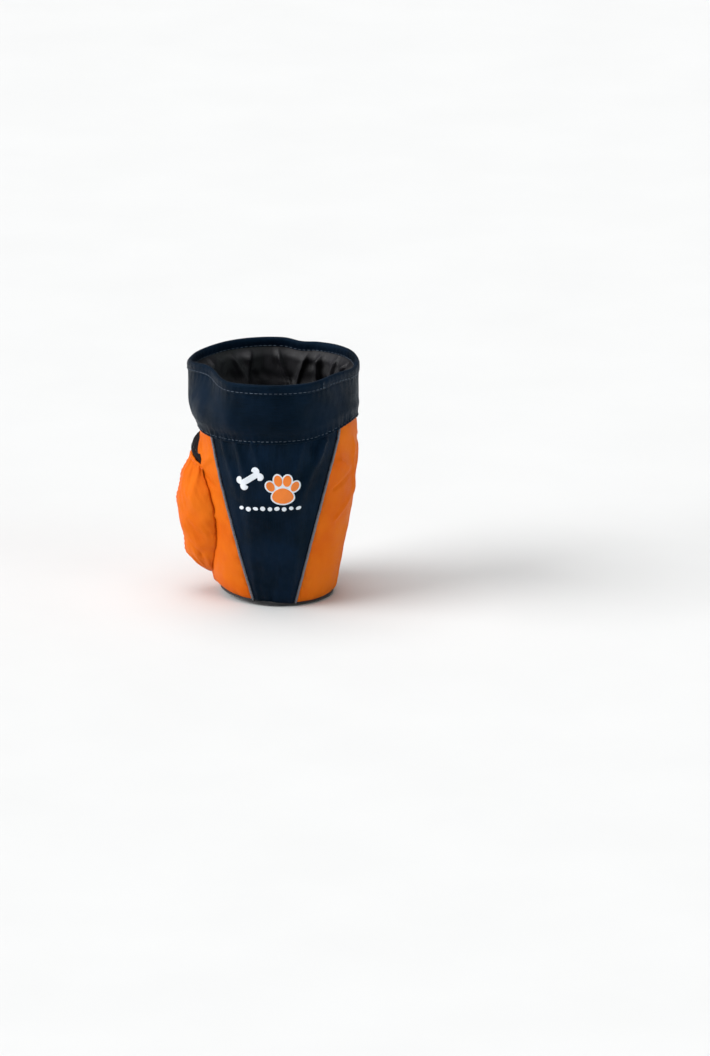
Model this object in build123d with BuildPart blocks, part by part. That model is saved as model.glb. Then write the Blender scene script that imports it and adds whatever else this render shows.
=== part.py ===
from build123d import *
from math import atan2, cos, sin, sqrt
import os

# Dog treat pouch: a round sewn pouch on a stiff base, with a collar held open by a hemmed hoop,
# a bulging side pocket under a black flap, and a belt clip and a D-ring on the back.
# Millimetres. Z is the axis of the pouch and the base stands on Z = 0. The front panel faces -Y,
# the side pocket is on -X and the belt hardware is on the back, +Y.

# ---- driving dimensions ----
height = 165.0             # base to the top of the rim
rim_radius = 60.4          # outside of the rim hem
collar_bottom = 121.5      # lower edge of the collar
collar_bottom_radius = 57.2
neck_radius = 55.8         # body wall where it goes up under the collar
belly_radius = 51.3
belly_height = 66.0
heel_radius = 41.3         # top of the rounded bottom corner
heel_height = 11.0
foot_radius = 38.6         # where the wall meets the base binding
foot_height = 2.7

shell_cloth = 1.2          # outer cloth with its backing
lining_cloth = 0.8
hem_cloth = 0.6
ply_gap = 0.2              # room between two plies
play = 0.1                 # smallest room, between pieces of one body that only lie together
webbing = 1.5

panel_half_width = 14.0    # half the front panel's width at the base
panel_flare = 0.25         # how fast that half width grows with height
piping_half_width = 0.6
piping_proud = 0.7
wall_top = collar_bottom + 2.5
reach_out = 90.0           # longer than the pouch is wide, for cuts that go right through
cut_top = wall_top + 5.0   # above the wall, for the same cuts

hem_depth = 7.5
hem_width = 3.6
hoop_wire_radius = 0.9
collar_tuck = 3.0          # the collar and the lining end this far below the rim, inside the hem

binding_width = 2.4
binding_proud = 0.3        # how far the binding stands out past the wall's foot
binding_round = 0.9
foot_bow = (0.5, -0.8)     # how far the rounded bottom corner bows out of its chord, and down
interlining_thickness = 0.5
interlining_rise = 1.0     # from the top of the wall to the interlining's lower edge
interlining_depth = 18.0

# ---- side pocket and its flap: height, reach from the axis, half width ----
pocket_centre = 40.0
pocket_levels = [
    (14.0, 46.5, 6.0),
    (19.0, 54.5, 11.0),
    (29.0, 62.5, 19.0),
    (46.0, 67.6, 27.0),
    (66.0, 69.0, 30.0),
    (84.0, 66.0, 27.0),
    (97.0, 60.6, 22.0),
]
flap_levels = [
    (101.0, 60.4, 21.0),
    (104.5, 61.2, 20.5),
    (108.5, 60.0, 18.5),
    (112.5, 57.4, 15.0),
]
pocket_cloth = 1.0
flap_cloth = 1.2
pocket_clearance = 0.35    # pocket and flap edges to the body wall
pocket_hem_height = 3.4
pocket_hem_outside = 0.5   # how far the pocket's hem stands out of its cloth
pocket_hem_inside = 0.3
pocket_cut_over = 2.0      # the pocket's inside is cut on past its mouth

# ---- belt clip and D-ring ----
back_patch_thickness = 1.6
back_patch_half_width = 18.0
back_patch_low = 50.0
back_patch_high = 113.0
back_patch_corner = 4.0
clip_half_width = 11.0
clip_steel = 1.2
clip_top = 103.5           # height of the centre of the clip's bend
clip_bend_radius = 3.6     # inside of the bend
clip_plate_length = 46.0
clip_tongue_length = 36.0
clip_throat_lean = 1.0     # how far the tongue leans in to grip a belt
clip_tip_length = 8.0
clip_tip_flare = 3.5
clip_seat_gap = 0.7        # the flat plate clears the bulge of the patch
rivet_radius = 1.6
rivet_head_radius = 3.4
rivet_head_height = 0.8
rivet_head_taper = 30      # degrees
rivet_tail = 1.7           # how far a rivet goes in behind the plate
rivet_depths = (10.0, 36.0)    # below the centre of the bend

ring_wire_radius = 1.25
ring_half_width = 11.0
ring_corner = 2.5
ring_height = 126.0        # height of the D-ring's bar
ring_play = 0.3
strap_half_width = 8.5
strap_high = 148.0

parts_folder = "parts"
os.makedirs(parts_folder, exist_ok=True)


def save(piece, name):
    """Label one finished piece and write its STEP file."""
    piece.part.label = name
    export_step(piece.part, f"{parts_folder}/{name}.step")


# ---- shapes that several pieces share ----
side_arc = ThreePointArc(
    (heel_radius, heel_height), (belly_radius, belly_height), (neck_radius, wall_top)
)


def wall_radius(level):
    """Outside radius of the body wall at a height above the heel."""
    centre = side_arc.arc_center
    return centre.X + sqrt(side_arc.radius**2 - (level - centre.Y) ** 2)


def collar_radius(level):
    """Outside radius of the collar, which flares up to the hem and goes straight up inside it."""
    hem_bottom_radius = rim_radius - hem_cloth - ply_gap / 2
    flare = (hem_bottom_radius - collar_bottom_radius) / (height - hem_depth - collar_bottom)
    return min(collar_bottom_radius + flare * (level - collar_bottom), hem_bottom_radius)


def wall_section(outer_inset, inner_inset):
    """Closed half section of a ply that follows the body wall, between two insets from its outside."""
    with BuildSketch(Plane.XZ) as section:
        with BuildLine():
            ends = []
            for inset in (outer_inset, inner_inset):
                foot = ThreePointArc(
                    (foot_radius - inset, foot_height),
                    (
                        (foot_radius + heel_radius) / 2 + foot_bow[0] - inset,
                        (foot_height + heel_height) / 2 + foot_bow[1],
                    ),
                    (heel_radius - inset, heel_height),
                )
                side = ThreePointArc(
                    foot @ 1, (belly_radius - inset, belly_height), (neck_radius - inset, wall_top)
                )
                ends.append((foot @ 0, side @ 1))
            Line(ends[0][0], ends[1][0])
            Line(ends[0][1], ends[1][1])
        make_face()
    return section.sketch


def polygon_section(points):
    """Closed half section with straight sides."""
    with BuildSketch(Plane.XZ) as section:
        with BuildLine():
            Polyline(points, close=True)
        make_face()
    return section.sketch


def panel_edge(level):
    """Half width of the front and back panels, to the middle of the piping."""
    return panel_half_width + panel_flare * level


def panel_outline(margin):
    """Trapezoid of the front and back panels seen square on, grown by a margin."""
    low, high = panel_edge(0) + margin, panel_edge(cut_top) + margin
    return polygon_section([(-low, 0), (low, 0), (high, cut_top), (-high, cut_top)])


with BuildPart() as wall_core:    # the body as one solid block, to cut what is sewn round it
    with BuildSketch(Plane.XZ):
        with BuildLine():
            core_foot = Line((foot_radius + pocket_clearance, 0), (foot_radius + pocket_clearance, foot_height))
            core_heel = Line(core_foot @ 1, (heel_radius + pocket_clearance, heel_height))
            core_side = ThreePointArc(
                core_heel @ 1,
                (belly_radius + pocket_clearance, belly_height),
                (neck_radius + pocket_clearance, wall_top),
            )
            Polyline([core_side @ 1, (0, wall_top), (0, 0), core_foot @ 0])
        make_face()
    revolve(axis=Axis.Z)


# ---- body panels ----
with BuildPart() as front_panel:
    revolve(wall_section(0, shell_cloth), axis=Axis.Z)
    extrude(panel_outline(-piping_half_width), amount=reach_out, mode=Mode.INTERSECT)
save(front_panel, "front_panel")

with BuildPart() as side_ring:
    revolve(wall_section(0, shell_cloth), axis=Axis.Z)
    extrude(panel_outline(piping_half_width), amount=reach_out, both=True, mode=Mode.SUBTRACT)

with BuildPart() as left_side_panel:
    add(side_ring.part)
    split(bisect_by=Plane.YZ, keep=Keep.BOTTOM)
save(left_side_panel, "left_side_panel")

with BuildPart() as right_side_panel:
    add(side_ring.part)
    split(bisect_by=Plane.YZ, keep=Keep.TOP)
save(right_side_panel, "right_side_panel")

# ---- reflective piping in the four panel seams ----
for face_name, face_side in (("front", 1), ("back", -1)):
    for side_name, side in (("left", -1), ("right", 1)):
        low, high = side * panel_edge(0), side * panel_edge(cut_top)
        with BuildPart() as piping:
            revolve(wall_section(-piping_proud, shell_cloth), axis=Axis.Z)
            extrude(
                polygon_section([
                    (low - piping_half_width, 0),
                    (low + piping_half_width, 0),
                    (high + piping_half_width, cut_top),
                    (high - piping_half_width, cut_top),
                ]),
                amount=face_side * reach_out,
                mode=Mode.INTERSECT,
            )
            split(bisect_by=Plane.XY.offset(collar_bottom - ply_gap), keep=Keep.BOTTOM)
        save(piping, f"piping_{face_name}_{side_name}")

# ---- base: outer disc, binding round its edge, board and lining floor ----
binding_inner = foot_radius - binding_width
with BuildPart() as base_panel:
    with BuildSketch():
        Circle(binding_inner - play)
    extrude(amount=shell_cloth)
save(base_panel, "base_panel")

with BuildPart() as base_binding:
    with BuildSketch():
        Circle(foot_radius + binding_proud)
        Circle(binding_inner, mode=Mode.SUBTRACT)
    extrude(amount=foot_height - play)
    fillet(base_binding.edges().filter_by(GeomType.CIRCLE).sort_by(SortBy.RADIUS)[-2:], radius=binding_round)
save(base_binding, "base_binding")

with BuildPart() as base_board:
    with BuildSketch(Plane.XY.offset(shell_cloth + play)):
        Circle(binding_inner - ply_gap)
    extrude(amount=foot_height - shell_cloth - ply_gap)
save(base_board, "base_board")

with BuildPart() as lining_floor:
    with BuildSketch(Plane.XY.offset(foot_height)):
        Circle(foot_radius - shell_cloth - ply_gap - lining_cloth - play)
    extrude(amount=lining_cloth)
save(lining_floor, "lining_floor")

# ---- collar, hem and hoop ----
collar_top = height - collar_tuck
hem_bottom = height - hem_depth
channel_outer = rim_radius - hem_cloth
channel_inner = rim_radius - hem_width + hem_cloth

with BuildPart() as collar_band:
    revolve(
        polygon_section([
            (collar_radius(collar_bottom), collar_bottom),
            (collar_radius(hem_bottom), hem_bottom),
            (collar_radius(collar_top), collar_top),
            (collar_radius(collar_top) - shell_cloth, collar_top),
            (collar_radius(hem_bottom) - shell_cloth, hem_bottom),
            (collar_radius(collar_bottom) - shell_cloth, collar_bottom),
        ]),
        axis=Axis.Z,
    )
save(collar_band, "collar_band")

with BuildPart() as rim_hem:    # one strip folded over the rim, open below
    revolve(
        polygon_section([
            (rim_radius, hem_bottom),
            (rim_radius, height),
            (rim_radius - hem_width, height),
            (rim_radius - hem_width, hem_bottom),
            (channel_inner, hem_bottom),
            (channel_inner, height - hem_cloth),
            (channel_outer, height - hem_cloth),
            (channel_outer, hem_bottom),
        ]),
        axis=Axis.Z,
    )
save(rim_hem, "rim_hem")

with BuildPart() as rim_hoop:
    with BuildSketch(Plane.XZ):
        with Locations(((channel_inner + channel_outer) / 2, height - hem_cloth - play - hoop_wire_radius)):
            Circle(hoop_wire_radius)
    revolve(axis=Axis.Z)
save(rim_hoop, "rim_hoop")

# The lining follows the body wall, then runs straight up and tucks into the hem.
lining_inset = shell_cloth + ply_gap
tuck_bottom = hem_bottom - ply_gap
tuck_outer = channel_inner + lining_cloth + play / 2
with BuildPart() as lining_wall:
    revolve(wall_section(lining_inset, lining_inset + lining_cloth), axis=Axis.Z)
    revolve(
        polygon_section([
            (neck_radius - lining_inset, wall_top),
            (tuck_outer, tuck_bottom),
            (tuck_outer, collar_top),
            (tuck_outer - lining_cloth, collar_top),
            (tuck_outer - lining_cloth, tuck_bottom),
            (neck_radius - lining_inset - lining_cloth, wall_top),
        ]),
        axis=Axis.Z,
    )
save(lining_wall, "lining_wall")

interlining_low = wall_top + interlining_rise
interlining_high = interlining_low + interlining_depth
interlining_inset = shell_cloth + play
with BuildPart() as collar_interlining:    # stiffens the collar between its cloth and the lining
    revolve(
        polygon_section([
            (collar_radius(interlining_low) - interlining_inset, interlining_low),
            (collar_radius(interlining_high) - interlining_inset, interlining_high),
            (collar_radius(interlining_high) - interlining_inset - interlining_thickness, interlining_high),
            (collar_radius(interlining_low) - interlining_inset - interlining_thickness, interlining_low),
        ]),
        axis=Axis.Z,
    )
save(collar_interlining, "collar_interlining")


# ---- side pocket ----
def stacked_ellipses(levels, inset, bottom_lift=0.0, top_lift=0.0):
    """Solid lofted through ellipses stacked up the side of the pouch, shrunk by an inset."""
    with BuildPart() as block:
        for index, (level, reach, half_width) in enumerate(levels):
            lift = bottom_lift if index == 0 else 0
            with BuildSketch(Plane((-pocket_centre, 0, level + lift))):
                Ellipse(reach - pocket_centre - inset, half_width - inset)
        loft()
        if top_lift:
            level, reach, half_width = levels[-1]
            with BuildSketch(Plane((-pocket_centre, 0, level))):
                Ellipse(reach - pocket_centre - inset, half_width - inset)
            extrude(amount=top_lift)
    return block.part


with BuildPart() as pocket_shell:    # open above
    add(stacked_ellipses(pocket_levels, 0))
    add(stacked_ellipses(pocket_levels, pocket_cloth, pocket_cloth, pocket_cut_over), mode=Mode.SUBTRACT)
    add(wall_core.part, mode=Mode.SUBTRACT)
save(pocket_shell, "pocket_shell")

pocket_mouth, mouth_reach, mouth_half_width = pocket_levels[-1]
mouth_reach -= pocket_centre
with BuildPart() as pocket_hem:
    with BuildSketch(Plane((-pocket_centre, 0, pocket_mouth + play))):
        Ellipse(mouth_reach + pocket_hem_outside, mouth_half_width + pocket_hem_outside)
        Ellipse(
            mouth_reach - pocket_cloth - pocket_hem_inside,
            mouth_half_width - pocket_cloth - pocket_hem_inside,
            mode=Mode.SUBTRACT,
        )
    extrude(amount=pocket_hem_height)
    add(wall_core.part, mode=Mode.SUBTRACT)
save(pocket_hem, "pocket_hem")

with BuildPart() as pocket_flap:    # domed flap, sewn along its upper edge, that closes the mouth
    add(stacked_ellipses(flap_levels, 0))
    add(stacked_ellipses(flap_levels[:-1], flap_cloth), mode=Mode.SUBTRACT)
    add(wall_core.part, mode=Mode.SUBTRACT)
save(pocket_flap, "pocket_flap")

# ---- back panel with its patch, rivets and belt clip ----
clip_bottom = clip_top - clip_plate_length
clip_tilt = atan2(wall_radius(clip_top) - wall_radius(clip_bottom), clip_plate_length)
plate_seat = wall_radius(clip_top) + back_patch_thickness + clip_seat_gap
clip_plane = Plane(
    origin=(0, plate_seat, clip_top),
    x_dir=(0, cos(clip_tilt), -sin(clip_tilt)),
    z_dir=(1, 0, 0),
)
clip_centre = clip_steel + clip_bend_radius    # of the bend, outwards from the back of the plate
tongue_seat = clip_centre + clip_bend_radius


def bend_section(first_angle, last_angle):
    """Part of the clip's bend, between two angles measured from the outward direction."""
    sweep_angle = last_angle - first_angle
    with BuildSketch(clip_plane) as section:
        with BuildLine():
            inside = CenterArc((clip_centre, 0), clip_bend_radius, first_angle, sweep_angle)
            outside = CenterArc((clip_centre, 0), clip_bend_radius + clip_steel, first_angle, sweep_angle)
            Line(inside @ 0, outside @ 0)
            Line(inside @ 1, outside @ 1)
        make_face()
    return section.sketch


def clip_strip(points):
    """Straight stretch of the clip's steel, drawn in the clip's own plane."""
    with BuildSketch(clip_plane) as section:
        with BuildLine():
            Polyline(points, close=True)
        make_face()
    return section.sketch


with BuildPart() as clip_rivets:    # pass through the plate and end inside the patch
    for depth in rivet_depths:
        with BuildSketch(Plane(clip_plane.from_local_coords((-rivet_tail, -depth, 0)), z_dir=clip_plane.x_dir)):
            Circle(rivet_radius)
        extrude(amount=rivet_tail + clip_steel)
        with BuildSketch(Plane(clip_plane.from_local_coords((clip_steel, -depth, 0)), z_dir=clip_plane.x_dir)):
            Circle(rivet_head_radius)
        extrude(amount=rivet_head_height, taper=rivet_head_taper)
save(clip_rivets, "clip_rivets")

with BuildPart() as back_panel:
    revolve(wall_section(0, shell_cloth), axis=Axis.Z)
    extrude(panel_outline(-piping_half_width), amount=-reach_out, mode=Mode.INTERSECT)
save(back_panel, "back_panel")

with BuildPart() as back_patch:
    revolve(wall_section(-back_patch_thickness, -play), axis=Axis.Z)
    with BuildSketch(Plane.XZ):
        with Locations((0, (back_patch_low + back_patch_high) / 2)):
            RectangleRounded(2 * back_patch_half_width, back_patch_high - back_patch_low, back_patch_corner)
    extrude(amount=-reach_out, mode=Mode.INTERSECT)
    add(clip_rivets.part, mode=Mode.SUBTRACT)
save(back_patch, "back_patch")

bend_half_gap = 8.0    # degrees each side of the line where the plate's bend and the tongue's part
with BuildPart() as belt_clip_plate:
    extrude(
        clip_strip([(0, 0), (clip_steel, 0), (clip_steel, -clip_plate_length), (0, -clip_plate_length)]),
        amount=clip_half_width,
        both=True,
    )
    extrude(bend_section(90 + bend_half_gap, 180), amount=clip_half_width, both=True)
    add(clip_rivets.part, mode=Mode.SUBTRACT)
save(belt_clip_plate, "belt_clip_plate")

throat_seat = tongue_seat - clip_throat_lean
with BuildPart() as belt_clip_tongue:
    extrude(
        clip_strip([
            (tongue_seat, 0),
            (tongue_seat + clip_steel, 0),
            (throat_seat + clip_steel, -clip_tongue_length),
            (throat_seat + clip_steel + clip_tip_flare, -clip_tongue_length - clip_tip_length),
            (throat_seat + clip_tip_flare, -clip_tongue_length - clip_tip_length),
            (throat_seat, -clip_tongue_length),
        ]),
        amount=clip_half_width,
        both=True,
    )
    extrude(bend_section(0, 90 - bend_half_gap), amount=clip_half_width, both=True)
save(belt_clip_tongue, "belt_clip_tongue")

# ---- D-ring on its strap, sewn to the back of the collar ----
strap_inner_gap = play
eye_radius = ring_wire_radius + ring_play + webbing
ring_seat = collar_radius(ring_height) + strap_inner_gap + eye_radius

with BuildPart() as ring_strap:
    revolve(
        polygon_section([
            (collar_radius(ring_height) + strap_inner_gap, ring_height),
            (collar_radius(strap_high) + strap_inner_gap, strap_high),
            (collar_radius(strap_high) + strap_inner_gap + webbing, strap_high),
            (collar_radius(ring_height) + strap_inner_gap + webbing, ring_height),
        ]),
        axis=Axis.Z,
    )
    with BuildSketch(Plane.XZ):
        with Locations((0, ring_height)):
            Rectangle(2 * strap_half_width, 2 * (strap_high - ring_height))
    extrude(amount=-reach_out, mode=Mode.INTERSECT)
    with BuildSketch(Plane.YZ):
        with Locations((ring_seat, ring_height)):
            Circle(eye_radius)
    extrude(amount=strap_half_width, both=True)
    with BuildSketch(Plane.YZ):
        with Locations((ring_seat, ring_height)):
            Circle(eye_radius - webbing)
    extrude(amount=strap_half_width, both=True, mode=Mode.SUBTRACT)
save(ring_strap, "ring_strap")

bar_end = ring_half_width - ring_corner
shoulder = ring_height - ring_corner
with BuildPart() as d_ring:    # half the ring is swept, then mirrored
    with BuildLine(Plane.XZ.offset(-ring_seat)) as ring_path:
        Line((0, ring_height), (bar_end, ring_height))
        CenterArc((bar_end, shoulder), ring_corner, 90, -90)
        CenterArc((0, shoulder), ring_half_width, 0, -90)
    with BuildSketch(Plane((0, ring_seat, ring_height), z_dir=(1, 0, 0))):
        Circle(ring_wire_radius)
    sweep(path=ring_path.wires()[0])
    mirror(about=Plane.YZ)
save(d_ring, "d_ring")
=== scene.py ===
import random
from math import cos, pi, radians, sin

import bmesh
import bpy
import numpy as np
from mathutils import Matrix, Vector


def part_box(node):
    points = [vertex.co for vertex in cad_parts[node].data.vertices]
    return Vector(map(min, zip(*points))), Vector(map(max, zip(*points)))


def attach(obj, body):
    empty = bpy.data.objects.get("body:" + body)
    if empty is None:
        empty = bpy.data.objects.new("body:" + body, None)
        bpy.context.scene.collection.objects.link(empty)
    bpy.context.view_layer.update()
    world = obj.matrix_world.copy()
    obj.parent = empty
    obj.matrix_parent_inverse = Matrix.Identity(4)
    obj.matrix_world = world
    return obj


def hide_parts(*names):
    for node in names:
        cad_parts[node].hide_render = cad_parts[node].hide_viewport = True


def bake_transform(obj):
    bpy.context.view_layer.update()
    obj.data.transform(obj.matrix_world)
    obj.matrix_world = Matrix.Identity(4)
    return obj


# Visual model of the treat pouch. Shapes are worked out in millimetres, in the CAD frame, and turned
# into metres as each mesh is made. Angles go round the pouch in degrees: 0 is the front (-Y), 90 is
# +X, 180 is the back and -90 is the side with the pocket.
MM = 0.001
UP = np.array([0.0, 0.0, 1.0])
RIGHT = np.array([1.0, 0.0, 0.0])

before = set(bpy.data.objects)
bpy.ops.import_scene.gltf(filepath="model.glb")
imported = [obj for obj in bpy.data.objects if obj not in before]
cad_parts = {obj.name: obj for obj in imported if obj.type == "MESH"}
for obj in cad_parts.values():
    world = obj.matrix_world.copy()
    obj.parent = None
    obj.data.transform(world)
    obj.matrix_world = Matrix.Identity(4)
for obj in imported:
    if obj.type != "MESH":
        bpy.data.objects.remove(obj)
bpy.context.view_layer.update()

# ---- camera: photograph's viewing angle and framing ----
camera_azimuth, camera_elevation = radians(3.0), radians(16.8)
camera_distance, frame_height = 6.0, 0.733    # metres, and what the picture spans at the target
camera_target = Vector((0.054, 0.0, 0.046))
camera = bpy.data.objects.new("camera", bpy.data.cameras.new("camera"))
bpy.context.scene.collection.objects.link(camera)
camera.data.lens = camera.data.sensor_width * camera_distance / frame_height
camera.location = camera_target + camera_distance * Vector((
    sin(camera_azimuth) * cos(camera_elevation),
    -cos(camera_azimuth) * cos(camera_elevation),
    sin(camera_elevation),
))
camera.rotation_euler = (camera_target - camera.location).to_track_quat("-Z", "Y").to_euler()
camera.data.clip_end = 100
bpy.context.scene.camera = camera
bpy.context.scene.view_settings.view_transform = "Standard"

# ---- driving dimensions, as in the CAD model (mm) ----
height = 165.0
rim_radius = 60.4
hem_width = 3.6
collar_bottom, collar_top = 121.5, height - 6.5
lining_bottom, lining_top = 3.0, height - 3.8
wall_top = 132.0    # body cloth ends up here, hidden under the collar
foot_radius = 38.6
panel_half_width, panel_flare = 14.0, 0.25
pocket_centre = 40.0
wall_profile = [
    (0.0, 37.4), (2.7, 38.9), (6.0, 40.2), (11.0, 41.5), (20.0, 43.3), (30.0, 45.4), (46.0, 48.3),
    (66.0, 51.3), (84.0, 53.35), (103.5, 54.9), (124.0, 55.8), (165.0, 56.4),
]
collar_profile = [
    (117.0, 57.1), (122.0, 57.3), (125.0, 57.5), (129.0, 58.6), (137.0, 59.5), (150.0, 59.7), (165.0, 59.5),
]
lining_profile = [
    (3.0, 35.2), (6.0, 37.6), (12.0, 39.6), (30.0, 43.5), (66.0, 49.4), (100.0, 52.6), (124.0, 53.9),
    (132.0, 54.3), (140.0, 56.4), (152.0, 57.0), (157.0, 57.3), (161.5, 58.4), (165.0, 58.6),
]
pocket_profile = [    # height, reach from the axis, half width
    (11.5, 42.8, 3.0), (14.0, 46.4, 7.0), (19.0, 52.6, 11.5), (29.0, 60.6, 19.0), (46.0, 66.6, 27.0),
    (66.0, 69.0, 30.0), (84.0, 66.0, 27.0), (97.0, 60.8, 22.2), (101.0, 60.3, 21.6),
]
flap_profile = [
    (101.2, 60.4, 21.3), (104.5, 61.2, 21.2), (108.5, 60.0, 19.6), (112.8, 57.2, 15.8), (114.0, 56.2, 14.0),
]


# ---- shape functions ----
def curve(points, x):
    """Smooth curve without overshoot through (x, y) points."""
    xs, ys = np.array(points, float).T
    step = np.diff(xs)
    slope = np.diff(ys) / step
    before, after = slope[:-1], slope[1:]
    tangent = np.zeros_like(ys)
    same = before * after > 0
    tangent[1:-1][same] = (2 * before * after)[same] / (before + after)[same]
    tangent[0], tangent[-1] = slope[0], slope[-1]
    x = np.clip(np.asarray(x, float), xs[0], xs[-1])
    k = np.clip(np.searchsorted(xs, x, side="right") - 1, 0, len(step) - 1)
    t = (x - xs[k]) / step[k]
    return (
        (1 + 2 * t) * (1 - t) ** 2 * ys[k] + t * (1 - t) ** 2 * step[k] * tangent[k]
        + t * t * (3 - 2 * t) * ys[k + 1] + t * t * (t - 1) * step[k] * tangent[k + 1]
    )


def smooth(x, start, end):
    """0 before start, 1 after end, and a smooth rise between."""
    t = np.clip((np.asarray(x, float) - start) / (end - start), 0, 1)
    return t * t * (3 - 2 * t)


def hump(angle, centre, half_width):
    """1 at an angle round the pouch, falling to 0 half_width away."""
    away = np.abs((np.asarray(angle, float) - centre + 180) % 360 - 180) / half_width
    return np.where(away < 1, np.cos(np.minimum(away, 1) * pi / 2) ** 2, 0)


def waves(points, size, seed, flatten=(1, 1, 1)):
    """Gentle unevenness between about -1 and 1 over points in space. flatten below 1 draws it out."""
    dice = random.Random(seed)
    total = 0
    for _ in range(7):
        way = np.array([dice.gauss(0, 1) for _ in range(3)])
        way = way / np.linalg.norm(way) * np.array(flatten)
        length = size * dice.uniform(0.6, 1.7)
        total = total + np.sin(points @ way * 2 * pi / length + dice.uniform(0, 2 * pi))
    return total / 7**0.5 / 1.3


def bell(x, width):
    """1 at x = 0, falling smoothly on both sides."""
    return np.exp(-((x / width) ** 2))


def ridge(x, z, start, end, width, rise):
    """Fold along a straight line on a panel, fading out at its far end."""
    (x0, z0), (x1, z1) = start, end
    length_squared = (x1 - x0) ** 2 + (z1 - z0) ** 2
    t = np.clip(((x - x0) * (x1 - x0) + (z - z0) * (z1 - z0)) / length_squared, 0, 1)
    away = np.hypot(x - x0 - t * (x1 - x0), z - z0 - t * (z1 - z0)) / (width * (0.6 + 0.8 * t))
    return rise * np.exp(-away**2) * (1 - t) ** 0.6


def ridges(x, z, folds):
    """Sum of folds, each given as (start, end, width, rise)."""
    return sum(ridge(x, z, *fold) for fold in folds)


def flat(x, z):
    """Points (x, z, 0), to take waves on a panel."""
    return np.stack(np.broadcast_arrays(x, z, 0 * x), axis=-1)


def humps(angle, *parts):
    """Sum of humps, each given as (size, centre, half width)."""
    return sum(size * hump(angle, centre, half_width) for size, centre, half_width in parts)


def around(angle, level, radius):
    """Points at an angle and a radius, before the pouch is bent out of true."""
    turn = np.radians(angle)
    return np.stack(np.broadcast_arrays(radius * np.sin(turn), -radius * np.cos(turn), level), axis=-1)


def place(angle, level, radius):
    """Points of the real, soft pouch: its mouth leans and is dented, and its lower left edge is lifted."""
    upper = smooth(level, 127, 160)
    dent = humps(angle, (9.5, -57, 35), (3.0, 55, 30), (1.4, 163, 12), (-0.8, -100, 60))
    rise = humps(angle, (3.4, -64, 40), (1.5, 57, 30), (1.6, -165, 70), (-0.9, 163, 14), (2.2, 118, 50))
    heel = 4.6 * hump(angle, -88, 62) * smooth(level, 0.5, 6) * (1 - smooth(level, 14, 46))
    lean = -3.4 * smooth(level, 118, 143) + 2.3 * hump(angle, -90, 70) * smooth(level, 84, 120)
    lift = 3.4 * hump(angle, -62, 85) * (1 - smooth(level, 0, 36)) * np.clip(radius / foot_radius, 0, 1) ** 2
    soft = 0.35 * waves(around(angle, level, 50.0), 60, 5)
    bent = around(angle, level, radius + ((soft - dent) * upper + heel) * np.clip(radius / rim_radius, 0, 1))
    bent[..., 0] += lean
    bent[..., 2] += rise * upper + lift
    return bent


def wall_radius(level):
    return curve(wall_profile, level)


def seam_angle(level):
    """Angle of the seams between the front or back panel and the side panels."""
    level = np.clip(level, 0, 131)
    return np.degrees(np.arcsin((panel_half_width + panel_flare * level) / wall_radius(level)))


def on_wall(x, level, out, back=False):
    """Point on the body at a distance x from the middle of the front or back, standing out from it."""
    angle = np.degrees(np.arcsin(x / wall_radius(level)))
    x_shape = angle * radians(1) * wall_radius(level)
    relief = 0 if back else front_relief(x_shape, level)
    return place(180 - angle if back else angle, level, wall_radius(level) + out + relief)


# ---- mesh builders ----
def finish_mesh(name, verts, faces, uvs=None, seam=None, mat=None, weld=False):
    """Closed mesh in metres from points in millimetres, its faces pointing out. weld joins points that
    fall on each other."""
    mesh = bpy.data.meshes.new(name)
    mesh.from_pydata((np.asarray(verts, float).reshape(-1, 3) * MM).tolist(), [], faces)
    if uvs is not None:
        layer = mesh.uv_layers.new(name="cloth")
        layer.data.foreach_set("uv", (np.asarray(uvs, float) * MM).astype(np.float32).ravel())
    if seam is not None:
        attribute = mesh.attributes.new("seam", "FLOAT", "POINT")
        attribute.data.foreach_set("value", np.asarray(seam, np.float32).ravel())
    work = bmesh.new()
    work.from_mesh(mesh)
    if weld:
        bmesh.ops.remove_doubles(work, verts=work.verts, dist=1e-6)
        bmesh.ops.dissolve_degenerate(work, edges=work.edges, dist=1e-7)
    bmesh.ops.recalc_face_normals(work, faces=work.faces)
    work.to_mesh(mesh)
    work.free()
    mesh.shade_smooth()
    piece = bpy.data.objects.new(name, mesh)
    bpy.context.scene.collection.objects.link(piece)
    if mat:
        mesh.materials.append(mat)
    return piece


def lengths_along(points, axis):
    """Distance along a grid of points in one direction, from its first row or column."""
    steps = np.linalg.norm(np.diff(points, axis=axis), axis=2)
    first = np.zeros_like(np.take(steps, [0], axis=axis))
    return np.concatenate([first, np.cumsum(steps, axis=axis)], axis=axis)


def stations(length, step, wrap=False):
    """Fractions from 0 to 1 along an edge, close together at its ends so that they can be rounded."""
    if wrap:
        return np.arange(round(length / step)) / round(length / step)
    inner = np.linspace(1.0, length - 1.0, max(3, round((length - 2) / step) + 1))
    ends = np.array([0, 0.12, 0.35, 0.65])
    return np.concatenate([ends, inner, length - ends[::-1]]) / length


def both_faces(first, second):
    return np.concatenate([first.reshape(-1, 3), second.reshape(-1, 3)])


def rounded(distance, edge):
    """How far a face drops towards an edge that is rounded over a length: 1 at the edge, 0 inside."""
    return 1 - np.sqrt(1 - (1 - np.minimum(distance / edge, 1)) ** 2)


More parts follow.
